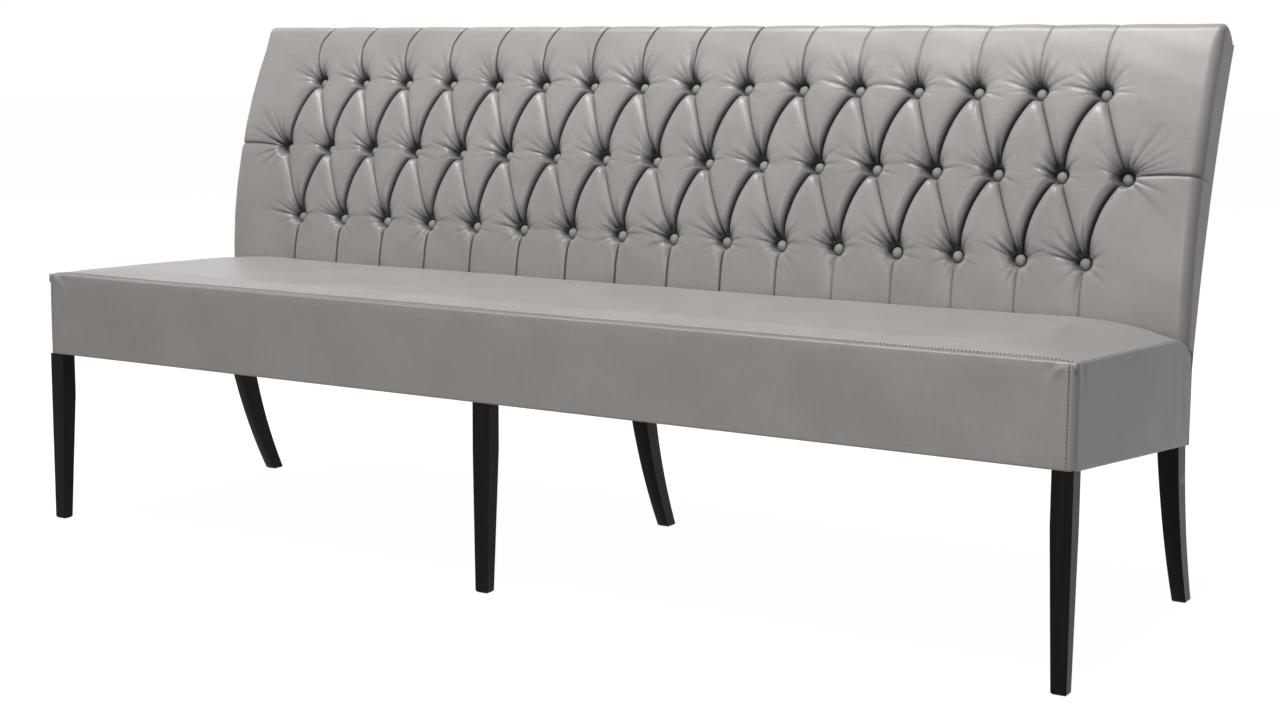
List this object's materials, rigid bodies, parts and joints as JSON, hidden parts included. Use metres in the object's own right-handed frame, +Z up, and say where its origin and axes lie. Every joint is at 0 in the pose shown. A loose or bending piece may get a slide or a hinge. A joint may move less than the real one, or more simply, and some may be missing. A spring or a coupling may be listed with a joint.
{
  "type": "dining bench",
  "caption": "Long upholstered dining bench with a deep-buttoned diamond-tufted back, a raked seat box and tapered dark wooden legs.",
  "frame": {"origin": "on the floor, under the middle of the bench's outer box", "axes": "+X along the bench, to the right as a sitter faces it from the front; -Y the front; +Z up"},
  "size_m": [2.1, 0.7074, 0.9747],
  "materials": {
    "cover": "satin, metallic silver-taupe, fine woven emboss",
    "button_cover": "satin",
    "leg_wood": "near-black satin lacquer",
    "frame_wood": "planed, unfinished",
    "back_board": "plywood",
    "foam": "open foam",
    "webbing": "woven elastic webbing",
    "dust_cover_cloth": "matte non-woven cloth",
    "tie_cord": "twisted cord",
    "tie_clips": "moulded",
    "bolt_steel": "zinc plated"
  },
  "bodies": {
    "root": {"back_board": "back_board", "back_top_rail": "frame_wood", "bottom_row_buttons": "button_cover", "button_tie_clips": "tie_clips", "button_ties": "tie_cord", "centre_cross_rail": "frame_wood", "dust_cover": "dust_cover_cloth", "front_corner_blocks": "frame_wood", "front_left_leg": "leg_wood", "front_middle_leg": "leg_wood", "front_rail": "frame_wood", "front_right_leg": "leg_wood", "left_cross_rail": "frame_wood", "left_end_post": "frame_wood", "left_end_rail": "frame_wood", "left_inner_post": "frame_wood", "leg_hanger_bolts": "bolt_steel", "middle_row_buttons": "button_cover", "outside_back_panel": "cover", "rear_left_leg": "leg_wood", "rear_middle_leg": "leg_wood", "rear_rail": "frame_wood", "rear_right_leg": "leg_wood", "right_cross_rail": "frame_wood", "right_end_post": "frame_wood", "right_end_rail": "frame_wood", "right_inner_post": "frame_wood", "seat_foam": "foam", "seat_front_band": "cover", "seat_left_band": "cover", "seat_right_band": "cover", "seat_top_cover": "cover", "seat_webbing": "webbing", "top_row_buttons": "button_cover", "tufted_back_pad": "cover"}
  },
  "joints": []
}
